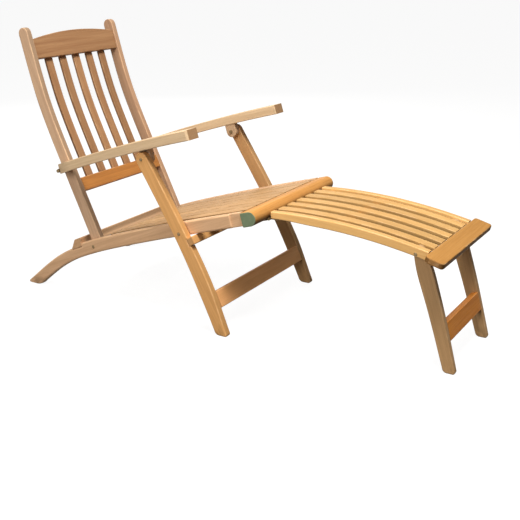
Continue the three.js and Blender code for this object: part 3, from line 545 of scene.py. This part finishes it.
rail_end, rail_slope, rail_normal = spot(seat_curve, seat_length)
nose_half, nose_corner = 0.024, 0.004
nose_place = rail_end - 0.001 * rail_normal
nose_middle = 0.0313
flat_back = glue_gap + nose_corner
nose_outline = np.vstack([
    arc((flat_back, nose_corner - nose_half), nose_corner, 180, 270, 6),
    arc((nose_middle, 0), nose_half, -90, 90, 25),
    arc((flat_back, nose_half - nose_corner), nose_corner, 90, 180, 6),
])
# The nose's finish paints shade on its underside, by the share 0.72.
nose_wood = oiled_wood("nose_wood", (0.70, 0.35, 0.10), (0.49, 0.21, 0.053), sides=0.72, shine=0.1)
paint_ends(nose_wood, rail_far)
nose = moulding("nose", turned_into(nose_place, rail_slope, nose_outline), rail_far, 0.0022)
fix(nose, "seat_front_rail", "seat_frame", nose_wood)


# The rear rail. A stout bar over both side rails, let into their tops behind the back. Its rear
# face slopes up to a narrower top, and its front face leans forwards over the housing.
def rounded(corners, radius):
    """A polygon whose corners are cut by quadratic curves. Each leaves and meets the edges at the
    radius from the corner, or at 0.3 of the shorter edge if that is less. A point before and one
    after it keep the edges flat."""
    corners = np.asarray(corners)
    back = np.roll(corners, 1, 0) - corners
    onward = np.roll(corners, -1, 0) - corners
    back_edge = np.linalg.norm(back, axis=1, keepdims=True)
    onward_edge = np.linalg.norm(onward, axis=1, keepdims=True)
    radius = np.minimum(radius, 0.3 * np.minimum(back_edge, onward_edge))[..., None]
    back /= back_edge
    onward /= onward_edge
    t = np.array([0, 0.25, 0.5, 0.75, 1])[None, :, None]
    curve = (1 - t) ** 2 * back[:, None] + t**2 * onward[:, None]
    curve = np.concatenate([1.5 * back[:, None], curve, 1.5 * onward[:, None]], 1)
    return (corners[:, None] + radius * curve).reshape(-1, 2)


rear_half, rear_top = 0.025, 0.0455
rear_place, rear_along, _ = spot(seat_curve, rear_s)
rear_outline = turned_into(rear_place, rear_along, rounded([
    (-rear_half, housing_floor), (rear_half, housing_floor), (rear_half, rail_top),
    (0.035, rear_top), (0.002, rear_top), (-rear_half, rail_low_top),
], 0.0035))
rear_rail = moulding("rear_rail", rear_outline, rail_far, 0.0006)
fix(rear_rail, "seat_rear_rail", "seat_frame", side_wood)


# The battens. Three plain bars of the same wood, planed square and fixed between the side rails.
# The slats are screwed down to them.
def bar_across(name, centre, y, across, side, *section, **ends):
    """A plank that runs straight across the chair, through a centre of the side view."""
    place = in_chair(centre, y)
    return plank(name, place, y_axis, in_space(across), in_space(side), *section, **ends)


def cross_bar(name, centre, direction, half, low, high, reach, soft=0.002, ease=None):
    """A straight bar across the chair. Its section is half to either side of the centre along a
    direction of the side view, and low to high square to it."""
    y = np.linspace(-reach, reach, 9)
    up = np.array([-direction[1], direction[0]])
    return bar_across(
        name, centre, y, up, direction, low, high, -half, half, soft, ease=(ease, ease)
    )


slat_top, slat_under = 0.0245, 0.0125
for number, back in enumerate((0.430, 0.225, 0.012), 1):
    here, slope, _ = spot(seat_curve, distance_where(seat_curve, 0, -back))
    high = slat_under - glue_gap
    batten = cross_bar(
        "batten_%d" % number, here, slope, 0.021, high - 0.020, high, rail_near - glue_gap
    )
    fix(batten, "seat_batten_%d" % number, "seat_frame", side_wood)


# The seat's slats. Seven thin strips that run from in front of the back to the nose, bent slightly
# over the battens. They are the palest wood of the chair, planed smooth and oiled.
# The slats' side faces, the walls of the gaps between them, carry painted shade.
seat_wood = oiled_wood(
    "seat_wood", (0.57, 0.344, 0.158), (0.42, 0.231, 0.094), sides=0.38, shine=0.1
)
slat_start, slat_end = distance_where(seat_curve, 0, -0.543), seat_length - 0.004
slat_line = set_out(seat_curve, np.linspace(slat_start, slat_end, 26))
slats, seat_half, slat_gap = 7, 0.217, 0.008
slat_pitch = (2 * seat_half + slat_gap) / slats
for number in range(slats):
    y = number * slat_pitch - seat_half
    slat = bar_along(
        "slat_%d" % (number + 1), slat_line, slat_under, slat_top, y, y + slat_pitch - slat_gap,
        0.0022,
    )
    fix(slat, "seat_slat_%d" % (number + 1), "seat_frame", seat_wood)


# Main legs. Two raked bars that run from the floor, past the side rails, up to the arms. They swell
# a little above the foot and are rounded off at the top. A low stretcher and a high crossbar let
# into their front edges hold them together.
leg_pivot, arm_pivot = np.array([-0.178, 0.327]), np.array([-0.330, 0.563])
leg_foot, knee_share = np.array([-0.010, 0]), 0.155 / 0.327
leg_chord = (leg_pivot - leg_foot) / np.linalg.norm(leg_pivot - leg_foot)
leg_knee = leg_foot + knee_share * (leg_pivot - leg_foot)
leg_knee = leg_knee + 0.008 * np.array([leg_chord[1], -leg_chord[0]])
leg_curve = smooth_curve([leg_foot, leg_knee, leg_pivot, arm_pivot])
leg_length = length_of(leg_curve)
pivot_s = distance_where(leg_curve, 1, leg_pivot[1])
knee_s = knee_share * pivot_s
leg_near, leg_far = 0.275, 0.300
leg_tip, leg_toe, leg_edge = 0.024, 0.012, 0.0035
tip_steps = np.sin(np.radians([20, 38, 52, 64, 74, 82, 87]))
# The near leg's side faces carry painted light. The far leg has its own darker copy of the wood:
# painted shade.
leg_wood = oiled_wood("leg_wood", (0.70, 0.38, 0.14), (0.50, 0.25, 0.085), sides=-0.22)
far_leg_shaded_wood = oiled_wood("far_leg_shaded_wood", (0.60, 0.345, 0.15), (0.43, 0.225, 0.09))
# The stretcher has its own paler, redder copy of the wood: painted light where it lies in shade
# under the seat.
stretcher_painted_light_wood = oiled_wood("stretcher_painted_light_wood", (0.95, 0.50, 0.21), (0.77, 0.365, 0.132))


def half_leg(s):
    """Half the leg's width: it eases from the foot out to the knee, and in again to the pivot."""
    lower = 0.043 + 0.009 * eased(s / knee_s)
    return (lower + (0.048 - lower) * eased((s - knee_s) / (pivot_s - knee_s))) / 2


def round_tip(s, length, radius):
    """The half width of a round end at distances along a curve, as a share of its radius. It is 1
    up to the curve's length."""
    past = np.clip((s - length) / radius, 0, 1)
    return np.sqrt(1 - past**2)


# The crossbar sits where its upper corner just clears the underside of the side rails.
bar_half, bar_depth, let_in = 0.014, 0.026, 0.006
bar_front = let_in - leg_tip
pivot_place, bar_slope, _ = spot(leg_curve, pivot_s)
over_s = distance_where(seat_curve, 0, leg_pivot[0])
over_place, _, over_across = spot(seat_curve, over_s)
bar_corner = turned_into(pivot_place, bar_slope, [bar_half, bar_front - bar_depth])
bar_rise = np.dot(bar_corner - over_place, over_across) + under_rail(over_s) + glue_gap
bar_drop = bar_rise / np.dot(bar_slope, over_across)
bar_place = pivot_place - bar_drop * bar_slope


def make_leg(name, near, far):
    """A main leg from near to far across the chair, notched in front for the crossbar."""
    slot = pivot_s - bar_drop + (bar_half + glue_gap) * np.array([-1, 1])
    toe_s = np.linspace(foot_ease + 0.0005, leg_toe, 6)
    tip_s = leg_length + leg_tip * tip_steps
    s = stepped(np.concatenate([np.linspace(0, leg_length, 50), toe_s, tip_s]), slot)
    half = half_leg(s) * round_tip(s, leg_length, leg_tip)
    front = np.where((s > slot[0]) & (s < slot[1]), let_in + glue_gap - half, -half)
    pinch = corner(leg_length + leg_tip - s, leg_edge)
    return bar_along(
        name, set_out(leg_curve, s), front, half, near + pinch, far - pinch,
        np.minimum(leg_edge, 0.9 * half), to_floor(leg_curve, s), (foot_ease, 0), (leg_toe, 0),
    )


for side_name, near, far, wood in (
    ("right", -leg_far, -leg_near, leg_wood), ("left", leg_near, leg_far, far_leg_shaded_wood)
):
    fix(make_leg("main_leg_" + side_name, near, far), "leg_" + side_name, "leg_frame",
        wood)
crossbar = cross_bar(
    "crossbar", bar_place, bar_slope, bar_half, bar_front - bar_depth, bar_front, leg_far, 0.003
)
fix(crossbar, "leg_crossbar", "leg_frame", leg_wood)
stretch_height, stretch_half, stretch_depth = 0.107, 0.029, 0.022
stretch_s = distance_where(leg_curve, 1, stretch_height)
stretch_place, stretch_slope, _ = spot(leg_curve, stretch_s)
stretch_front = -half_leg(stretch_s)
stretcher = cross_bar(
    "stretcher", stretch_place, stretch_slope, stretch_half, stretch_front,
    stretch_front + stretch_depth, leg_near - glue_gap, 0.003,
)
fix(stretcher, "leg_stretcher", "leg_frame", stretcher_painted_light_wood)


# The back. Two posts, straight up to the arms and bowed above them, with a deep rail near the seat
# and an arched one at the top. Five slats are tenoned between the rails, well behind the posts'
# front edges, so the posts stand proud of them.
pin = np.array([-0.721, 0.471])
back_top = np.array([-0.912, 0.952])
upper_chord = (back_top - pin) / np.linalg.norm(back_top - pin)
bowed = (pin + back_top) / 2 + 0.016 * np.array([-upper_chord[1], upper_chord[0]])
post_curve = smooth_curve([back_pivot, (back_pivot + pin) / 2, pin, bowed, back_top])
post_length = length_of(post_curve)
# The near post's side faces carry painted light. The far post has its own copy of the wood with its
# side faces left darker: painted shade.
post_wood = oiled_wood("post_wood", (0.40, 0.27, 0.17), (0.28, 0.17, 0.105), sides=-0.72)
far_post_shaded_wood = oiled_wood("far_post_shaded_wood", (0.50, 0.31, 0.19), (0.34, 0.19, 0.11))
back_wood = oiled_wood("back_wood", (0.42, 0.23, 0.11), (0.27, 0.125, 0.055))
ladder_wood = oiled_wood("ladder_wood", (0.52, 0.225, 0.055), (0.32, 0.115, 0.03))
post_near, post_far = 0.222, 0.245
post_half, post_edge = 0.0224, 0.0035


def make_post(name, near, far):
    """A back post from near to far across the chair, with a round end at the top and bottom."""
    bulge = post_half * tip_steps
    s = np.concatenate([-bulge[::-1], np.linspace(0, post_length, 50), post_length + bulge])
    half = post_half * round_tip(s, post_length, post_half) * round_tip(-s, 0, post_half)
    pinch = corner(0.0225 - np.maximum(s - post_length, -s), post_edge)
    return bar_along(
        name, set_out(post_curve, s), -half, half, near + pinch, far - pinch,
        np.minimum(post_edge, 0.9 * half), ease=(0, 0),
    )


for side_name, near, far, wood in (
    ("right", -post_far, -post_near, post_wood), ("left", post_near, post_far, far_post_shaded_wood)
):
    fix(make_post("post_" + side_name, near, far), "back_post_" + side_name, "back_frame",
        wood)
low_height, low_half = 0.404, 0.0255
crest_depth, between_posts = 0.074, post_near - glue_gap
low_s = distance_where(post_curve, 1, low_height)
low_place, low_slope, _ = spot(post_curve, low_s)
low_rail = cross_bar(
    "low_back_rail", low_place, low_slope, low_half, -0.0225, 0.0135, between_posts, 0.003, 0.001
)
fix(low_rail, "back_bottom_rail", "back_frame", ladder_wood)
top_s = post_length - 0.026
top_place, top_slope, top_across = spot(post_curve, top_s)
top_y = np.linspace(-between_posts, between_posts, 41)
arch_rise = 0.020 * (1 - (top_y / between_posts) ** 2)
crest = bar_across(
    "crest_rail", top_place, top_y, top_slope, top_across, -crest_depth, arch_rise, -0.0165,
    0.0135, 0.003, ease=(0.001, 0.001),
)
fix(crest, "back_top_rail", "back_frame", back_wood)
strip_s = np.linspace(low_s + low_half + glue_gap, top_s - crest_depth - glue_gap, 30)
strip_line = set_out(post_curve, strip_s)
strip_pitch, strip_half = 0.073, 0.017
for number in range(5):
    y = (number - 2) * strip_pitch
    strip = bar_along(
        "back_strip_%d" % (number + 1), strip_line, 0.0015, 0.0125, y - strip_half, y + strip_half,
        0.002,
    )
    fix(strip, "back_slat_%d" % (number + 1), "back_frame", back_wood)


# The arms. Each is one thick board, slightly arched, cut to a narrow tip behind with a long sweep
# of its outer corner. Four blind notches from below drop over the recline pins. Small blocks of
# the same wood under the arms carry their bolts.
arm_pitch = 17.3
arm_wood = oiled_wood(
    "arm_wood", (0.87, 0.645, 0.402), (0.64, 0.442, 0.252), pitch=arm_pitch, cut=0.1645
)
# The blocks' finish is a darker copy of the arms' wood: painted shade under the arms.
arm_block_shaded_wood = oiled_wood("arm_block_shaded_wood", (0.66, 0.45, 0.28), (0.48, 0.31, 0.17), pitch=arm_pitch)
for side_name in ("right", "left"):
    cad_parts["arm_" + side_name].material_slots[0].material = arm_wood
    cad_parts["arm_block_" + side_name].material_slots[0].material = arm_block_shaded_wood


# The footrest. A gently arched frame of two rails with five strips between them on two cross
# rails, closed at the far end by a broad board with rounded corners. It is the most golden part
# of the chair.
round_centre = turned_into(nose_place, rail_slope, [nose_middle, 0.0])
foot_start = round_centre + [nose_half + 0.007, -0.005]
fall = np.radians(-4.1)
foot_end = foot_start + 0.543 * np.array([np.cos(fall), np.sin(fall)])
foot_t = np.linspace(0, 1, 801)[:, None]
foot_control = (foot_start + foot_end) / 2 + [0, 0.038]
foot_curve = (1 - foot_t) ** 2 * foot_start + 2 * foot_t * (1 - foot_t) * foot_control
foot_curve = foot_curve + foot_t**2 * foot_end
foot_length = length_of(foot_curve)
# The strips' and bearers' side faces carry a little painted shade, and the rails' side faces
# painted light.
foot_wood = oiled_wood("foot_wood", (0.64, 0.385, 0.14), (0.48, 0.255, 0.08), sides=0.1)
foot_rail_wood = oiled_wood("foot_rail_wood", (0.66, 0.40, 0.15), (0.50, 0.27, 0.09), sides=-0.4)
# The end board's wood is dark and its top and bottom faces are made 2.4 times paler: painted shade
# on its front and back edges, painted light on top.
end_board_shaded_wood = oiled_wood(
    "end_board_shaded_wood", (0.205, 0.103, 0.029), (0.15, 0.068, 0.017), sides=-1.4, shine=0.06
)
foot_near, foot_far, foot_top = 0.166, 0.190, 0.015
foot_s = np.linspace(0, foot_length, 44)
foot_line = set_out(foot_curve, foot_s)
# The rails are 6 mm shallower at the hinges, and reach their full depth at 0.3 of their length.
foot_under = foot_top - 0.006 * (1 - eased(foot_s / foot_length / 0.3))
for side_name, near, far in (("right", -foot_far, -foot_near), ("left", foot_near, foot_far)):
    rail = bar_along(
        "foot_rail_" + side_name, foot_line, -foot_under, foot_top, near, far, 0.0035,
        ease=(0.003, 0.001),
    )
    fix(rail, "footrest_rail_" + side_name, "footrest", foot_rail_wood)
foot_pitch, foot_half = 0.062, 0.018
for number in range(5):
    y = (number - 2) * foot_pitch
    strip = bar_along(
        "foot_strip_%d" % (number + 1), foot_line, 0.0, 0.013, y - foot_half, y + foot_half,
        0.0025, ease=(0.002, 0.001),
    )
    fix(strip, "footrest_slat_%d" % (number + 1), "footrest", foot_wood)
for number, share in enumerate((0.08, 0.44), 1):
    here, slope, _ = spot(foot_curve, share * foot_length)
    bearer = cross_bar(
        "bearer_%d" % number, here, slope, 0.015, -0.012 - glue_gap, -glue_gap,
        foot_near - glue_gap,
    )
    fix(bearer, "footrest_cross_rail_%d" % number, "footrest", foot_wood)

# The end board lies across the rails' ends and falls three degrees more than they do, about a
# millimetre clear of them. Its stations lie close together where its corners are rounded.
end_place, end_slope, _ = spot(foot_curve, foot_length)
tilt, board_half, board_corner = np.radians(-3), 0.226, 0.013
end_slope = turned_into(np.zeros(2), end_slope, [np.cos(tilt), np.sin(tilt)])
board_base = turned_into(end_place, end_slope, [glue_gap + foot_top * np.tan(-tilt), 0.0])
board_round = np.linspace(0.0045, board_corner, 7)
board_y = np.concatenate([[-board_half], board_round - board_half, np.linspace(-0.2, 0.2, 15)])
board_y = np.concatenate([board_y, board_half - board_round[::-1], [board_half]])
end_board = bar_across(
    "end_board", board_base, board_y, end_slope, [-end_slope[1], end_slope[0]], 0.0, 0.062, -0.005,
    foot_top, 0.0035, toe=(board_corner, board_corner),
)
fix(end_board, "footrest_end_board", "footrest", end_board_shaded_wood)


# The footrest's legs. Two slim curved bars inside its rails, widest just under their round tops,
# joined by a stretcher that is flush with their front edges.
foot_pivot_s = distance_where(foot_curve, 0, 0.617)
joint_place, _, joint_across = spot(foot_curve, foot_pivot_s)
foot_pivot = joint_place - 0.007 * joint_across
prop_foot = np.array([0.727, 0])
prop_chord = (foot_pivot - prop_foot) / np.linalg.norm(foot_pivot - prop_foot)
prop_middle = (foot_pivot + prop_foot) / 2 + 0.004 * np.array([prop_chord[1], -prop_chord[0]])
prop_curve = smooth_curve([prop_foot, prop_middle, foot_pivot])
prop_length = length_of(prop_curve)
prop_wood = oiled_wood("prop_wood", (0.59, 0.36, 0.17), (0.42, 0.24, 0.105))
brace_wood = oiled_wood("brace_wood", (0.72, 0.27, 0.04), (0.50, 0.16, 0.022))
prop_near, prop_far, shoulder = 0.144, 0.164, 0.78
prop_tip, prop_toe, prop_edge = 0.018, 0.011, 0.003


def half_prop(s):
    """Half the width: it grows evenly to the shoulder, then shrinks on a parabola to the eye."""
    share = s / prop_length
    lower = 0.019 + 0.007 * share / shoulder
    rise = np.clip((share - shoulder) / (1 - shoulder), 0, 1)
    return np.where(share < shoulder, lower, 0.026 - 0.008 * rise**2)


def make_prop(name, near, far):
    """A footrest leg from near to far across the chair, cut to the floor and round at the top."""
    toe_s = np.linspace(foot_ease + 0.0005, prop_toe, 6)
    tip_s = prop_length + prop_tip * tip_steps
    s = np.unique(np.concatenate([np.linspace(0, prop_length, 40), toe_s, tip_s]))
    half = half_prop(np.minimum(s, prop_length)) * round_tip(s, prop_length, prop_tip)
    pinch = corner(prop_length + prop_tip - s, prop_edge)
    return bar_along(
        name, set_out(prop_curve, s), -half, half, near + pinch, far - pinch,
        np.minimum(prop_edge, 0.9 * half), to_floor(prop_curve, s, 0.06), (foot_ease, 0),
        (prop_toe, 0),
    )


for side_name, near, far in (("right", -prop_far, -prop_near), ("left", prop_near, prop_far)):
    fix(make_prop("prop_" + side_name, near, far), "footrest_leg_" + side_name, "footrest_legs",
        prop_wood)
brace_height, brace_half, brace_depth = 0.122, 0.029, 0.024
brace_s = distance_where(prop_curve, 1, brace_height)
brace_place, brace_slope, _ = spot(prop_curve, brace_s)
brace_front = -half_prop(brace_s)
brace = cross_bar(
    "prop_brace", brace_place, brace_slope, brace_half, brace_front, brace_front + brace_depth,
    prop_near - glue_gap, 0.002, 0.001,
)
fix(brace, "footrest_leg_stretcher", "footrest_legs", brace_wood)


# Brass. The bolts, washers, nuts, hinge leaves and recline pins are turned or pressed brass, gone
# dull and stained out of doors.
def stained_brass():
    """Dull brass: a fine noise mixes a brown stain with the metal's colour, and its roughness."""
    material, tree, shader = new_material("stained_brass")
    place = add(tree, "TexCoord", {}).outputs["Object"]
    stain = add(tree, "TexNoise", {"Vector": place, "Scale": 260, "Detail": 4}).outputs["Fac"]
    feed(tree, shader, {
        "Base Color": mixed(tree, stain, (0.12, 0.085, 0.05, 1), (0.30, 0.21, 0.10, 1)),
        "Roughness": ranged(tree, stain, 0.0, 1.0, 0.42, 0.7),
        "Metallic": 0.85,
    })
    return material


brass = stained_brass()
for node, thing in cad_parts.items():
    if any(word in node for word in ("bolt", "pin", "hinge")):
        for held in thing.material_slots:
            held.material = brass


# The studio. A white floor that runs out of sight, one soft lamp overhead, and two broader and
# weaker ones, from the side that is photographed and from behind, as for a catalogue picture.
def seen_or_reflected(tree):
    """1 for a ray from the camera, or off a glossy or through a clear surface, and 0 for others."""
    path = add(tree, "LightPath", {}).outputs
    either = combined(tree, "MAXIMUM", path["Is Camera Ray"], path["Is Glossy Ray"])
    return combined(tree, "MAXIMUM", either, path["Is Transmission Ray"])


def studio_surface(name, seen, lit):
    """White in the picture and in reflections, with faint shadows kept, but dark to the light
    that bounces off it, so that the underside of the chair stays in shade."""
    material, tree, shader = new_material(name)
    looked_at = seen_or_reflected(tree)
    feed(tree, shader, {
        "Base Color": mixed(tree, looked_at, (*lit, 1), (*seen, 1)),
        "Roughness": 1,
        "Specular IOR Level": 0,
    })
    glow = add(tree, "Emission", {"Color": (1, 1, 1, 1), "Strength": 1.12})
    share = combined(tree, "MULTIPLY", looked_at, 0.82)
    both = add(tree, "MixShader", {"Fac": share, 1: shader.outputs[0], 2: glow.outputs[0]})
    feed(tree, tree.nodes["Material Output"], {"Surface": both.outputs[0]})
    return material


floor_mesh = bpy.data.meshes.new("floor")
floor_mesh.from_pydata([(-30, -30, 0), (30, -30, 0), (30, 30, 0), (-30, 30, 0)], [], [(0, 1, 2, 3)])
floor = bpy.data.objects.new("floor", floor_mesh)
floor.data.materials.append(studio_surface("floor_paper", (0.95, 0.95, 0.95), (0.07, 0.065, 0.06)))
scene.collection.objects.link(floor)

world = bpy.data.worlds.new("studio")
scene.world = world
world.use_nodes = True
sky = world.node_tree
room = sky.nodes["Background"]
feed(sky, room, {"Color": (1, 0.99, 0.98, 1), "Strength": 0.16})
white = add(sky, "Background", {"Color": (1, 1, 1, 1)})
choose = {"Fac": seen_or_reflected(sky), 1: room.outputs[0], 2: white.outputs[0]}
both = add(sky, "MixShader", choose)
feed(sky, sky.nodes["World Output"], {"Surface": both.outputs[0]})


def lamp(name, place, target, size, power, colour):
    """A square lamp at a place, turned towards a target."""
    light = bpy.data.lights.new(name, "AREA")
    light.size = size
    light.energy = power
    light.color = colour
    thing = bpy.data.objects.new(name, light)
    thing.location = place
    direction = Vector(target) - Vector(place)
    thing.rotation_euler = direction.to_track_quat("-Z", "Y").to_euler()
    scene.collection.objects.link(thing)


lamp("overhead", (1.0, -0.7, 3.3), (0.0, 0.0, 0.3), 1.1, 124, (1, 0.97, 0.92))
lamp("side", (-0.3, -3.8, 1.9), (0.0, 0.0, 0.4), 2.2, 92, (1, 0.96, 0.92))
lamp("behind", (-2.6, 3.0, 2.0), (0.0, 0.0, 0.4), 2.2, 50, (1, 0.97, 0.94))
